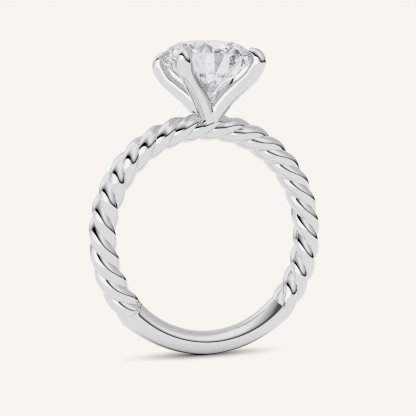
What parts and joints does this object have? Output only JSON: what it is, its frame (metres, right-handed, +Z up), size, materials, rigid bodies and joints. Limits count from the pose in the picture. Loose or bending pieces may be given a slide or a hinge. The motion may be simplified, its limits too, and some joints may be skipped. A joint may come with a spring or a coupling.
{
  "type": "solitaire ring",
  "caption": "Solitaire ring lying on its side: a rope-twist band runs into a plain smooth stretch, and a prong setting on it holds a round brilliant-cut stone.",
  "frame": {"origin": "centre of the bottom of the ring's box as it lies, on the surface under it", "axes": "+Z up; +Y from the plain stretch of the band towards the stone, along the surface; +X across the finger hole"},
  "size_m": [0.0212, 0.027, 0.0083],
  "materials": {
    "white_gold": "polished rhodium-plated white gold",
    "diamond": "colourless cut and polished diamond"
  },
  "bodies": {
    "root": {"band_with_setting": "white_gold", "stone": "diamond"}
  },
  "joints": []
}
